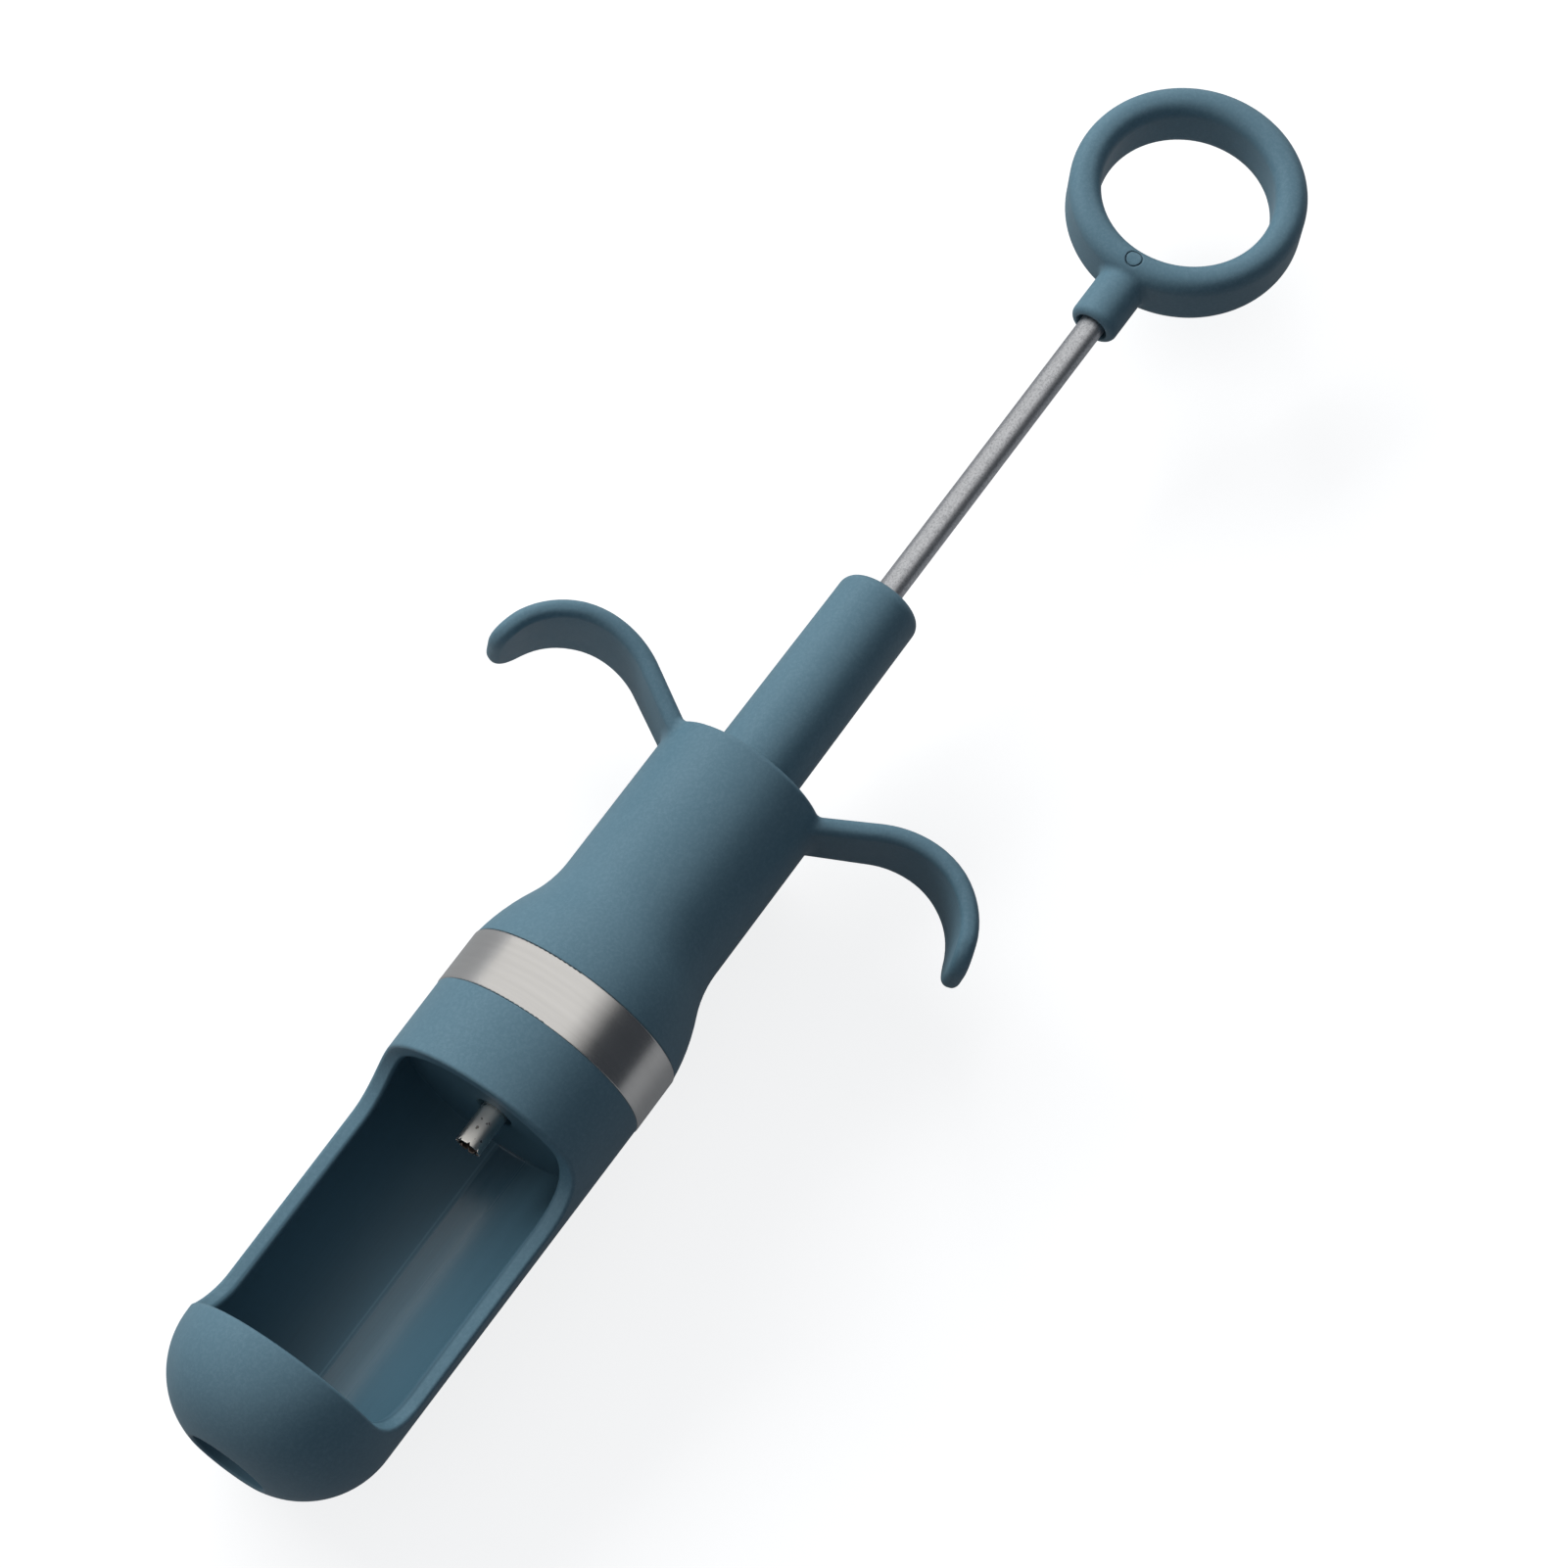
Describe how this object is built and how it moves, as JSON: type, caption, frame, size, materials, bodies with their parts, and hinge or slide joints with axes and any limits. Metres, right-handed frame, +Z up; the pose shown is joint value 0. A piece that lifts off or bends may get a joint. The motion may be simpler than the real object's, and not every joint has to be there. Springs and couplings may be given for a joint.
{
  "type": "plunger cherry pitter",
  "caption": "Hand-held plunger cherry pitter: windowed fruit barrel, grip with two finger hooks, and a sprung tube pushed by a thumb ring.",
  "frame": {"origin": "centre of the bounding box in X and Y, on the plane that the lying tool rests on: under the middle of the tool's length, 17.2 mm below its axis", "axes": "+X along the tool from the pit outlet to the thumb ring, +Y towards one finger hook, +Z up, away from the surface and out of the fruit window"},
  "size_m": [0.2561, 0.083, 0.0344],
  "materials": {
    "soft_touch_blue": "matte soft-touch",
    "satin_steel": "satin",
    "tube_steel": "drawn",
    "spring_steel": "bright wire",
    "white_acetal": "natural",
    "black_rubber": "matte"
  },
  "bodies": {
    "grip": {"grip_housing": "soft_touch_blue", "guide_disc": "white_acetal", "neck_bush": "white_acetal", "rod_wiper": "black_rubber", "stop_bumper": "black_rubber", "lower_spring_washer": "satin_steel", "return_spring": "spring_steel", "joint_seal": "black_rubber"},
    "spring_seat": {"upper_spring_washer": "satin_steel"},
    "plunger": {"plunger_tube": "tube_steel", "thumb_ring": "soft_touch_blue", "stop_collar": "satin_steel"},
    "trim": {"steel_band": "satin_steel"},
    "barrel": {"fruit_chamber": "soft_touch_blue"}
  },
  "joints": [
    {"name": "plunge", "type": "slide", "parent": "grip", "child": "spring_seat", "axis": [-1, 0, 0], "range_m": [0, 0.0556], "stiffness_N_per_m": 178, "springref_m": -0.0237, "deforming": ["return_spring"]},
    {"name": "plunger_turn", "type": "hinge", "parent": "spring_seat", "child": "plunger", "pos_m": [0, 0, 0.0172], "axis": [-1, 0, 0], "continuous": true},
    {"name": "joint_travel", "type": "slide", "parent": "grip", "child": "trim", "axis": [-1, 0, 0], "range_m": [0, 0.0075]},
    {"name": "barrel_unscrew", "type": "hinge", "parent": "trim", "child": "barrel", "pos_m": [-0.05845, 0, 0.0172], "axis": [-1, 0, 0], "range_deg": [0, 900]}
  ],
  "couplings": [
    {"joint": "joint_travel", "follows": "barrel_unscrew", "m_per_rad": 0.00047746}
  ]
}
